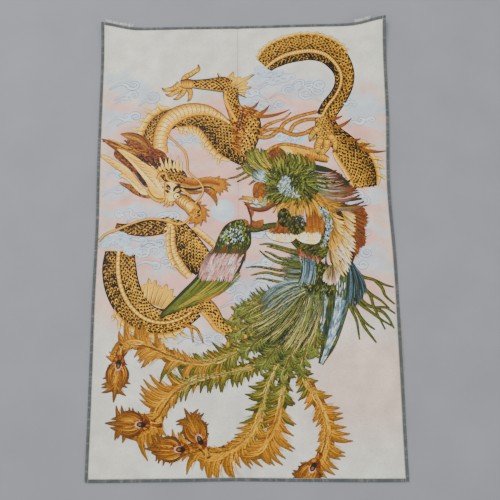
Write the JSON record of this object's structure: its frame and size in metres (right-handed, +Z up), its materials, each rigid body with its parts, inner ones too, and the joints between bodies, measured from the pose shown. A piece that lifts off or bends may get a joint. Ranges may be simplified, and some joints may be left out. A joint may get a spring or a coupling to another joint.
{
  "type": "woven brocade picture panel",
  "caption": "Flat woven brocade panel with a dragon and a phoenix in pattern weft and an overlocked edge, creased along its length so that one side turns over the other.",
  "frame": {"origin": "middle of the panel's outline, on the surface that it lies on", "axes": "+X across the panel to the picture's right, +Y up the picture to its top edge, +Z up out of the face of the cloth"},
  "size_m": [0.6, 0.925, 0.0162],
  "materials": {
    "ground_cloth": "warp-faced silk brocade, soft sheen",
    "overlock_thread": "spun overlock thread, matt",
    "gold_weft": "pattern weft with gold thread",
    "palegold_weft": "pattern weft, pale gold silk",
    "rust_weft": "pattern weft, rust silk",
    "green_weft": "pattern weft, olive and green silk",
    "blue_weft": "pattern weft, blue-grey silk",
    "cream_weft": "pattern weft, cream silk",
    "pale_weft": "pattern weft, pale blue silk"
  },
  "bodies": {
    "right_half": {"ground_cloth_right": "ground_cloth", "edging_right_side": "overlock_thread", "edging_top_right": "overlock_thread", "edging_bottom_right": "overlock_thread", "dragon_shoulder_weft_right": "gold_weft", "dragon_foreleg_weft_right": "gold_weft", "dragon_upper_arch_weft": "gold_weft", "dragon_right_flank_weft": "gold_weft", "dragon_far_claw_weft": "rust_weft", "dragon_hind_foot_weft_right": "gold_weft", "phoenix_head_weft": "green_weft", "phoenix_crest_weft": "green_weft", "phoenix_ruff_weft": "green_weft", "phoenix_breast_weft": "rust_weft", "phoenix_right_wing_weft": "cream_weft", "phoenix_folded_wing_weft_right": "green_weft", "phoenix_left_plume_weft": "blue_weft", "phoenix_back_plume_weft": "blue_weft", "phoenix_long_feather_left_weft": "blue_weft", "phoenix_long_feather_right_weft": "blue_weft", "phoenix_tail_coverts_weft": "green_weft", "phoenix_tail_feather_1_weft_right": "gold_weft", "phoenix_tail_feather_2_weft_right": "gold_weft", "phoenix_tail_feather_3_weft_right": "gold_weft", "phoenix_tail_feather_4_weft": "gold_weft", "phoenix_tail_feather_5_weft": "gold_weft"},
    "left_half": {"ground_cloth_left": "ground_cloth", "edging_left_side": "overlock_thread", "edging_top_left": "overlock_thread", "edging_bottom_left": "overlock_thread", "dragon_head_weft": "gold_weft", "dragon_mane_weft": "rust_weft", "dragon_horn_weft": "palegold_weft", "dragon_neck_weft": "gold_weft", "dragon_shoulder_weft_left": "gold_weft", "dragon_foreleg_weft_left": "gold_weft", "dragon_fore_claw_weft": "palegold_weft", "dragon_middle_loop_weft": "gold_weft", "dragon_lower_coil_weft": "gold_weft", "dragon_back_fin_weft": "palegold_weft", "dragon_hind_leg_weft": "gold_weft", "dragon_hind_foot_weft_left": "gold_weft", "moon_disc_weft": "pale_weft", "phoenix_folded_wing_weft_left": "green_weft", "phoenix_tail_feather_1_weft_left": "gold_weft", "phoenix_tail_feather_2_weft_left": "gold_weft", "phoenix_tail_feather_3_weft_left": "gold_weft"}
  },
  "joints": [
    {"name": "fold", "type": "hinge", "parent": "right_half", "child": "left_half", "pos_m": [-0.011, 0, 0.0024], "axis": [0, 1, 0], "range_deg": [0, 170]}
  ]
}
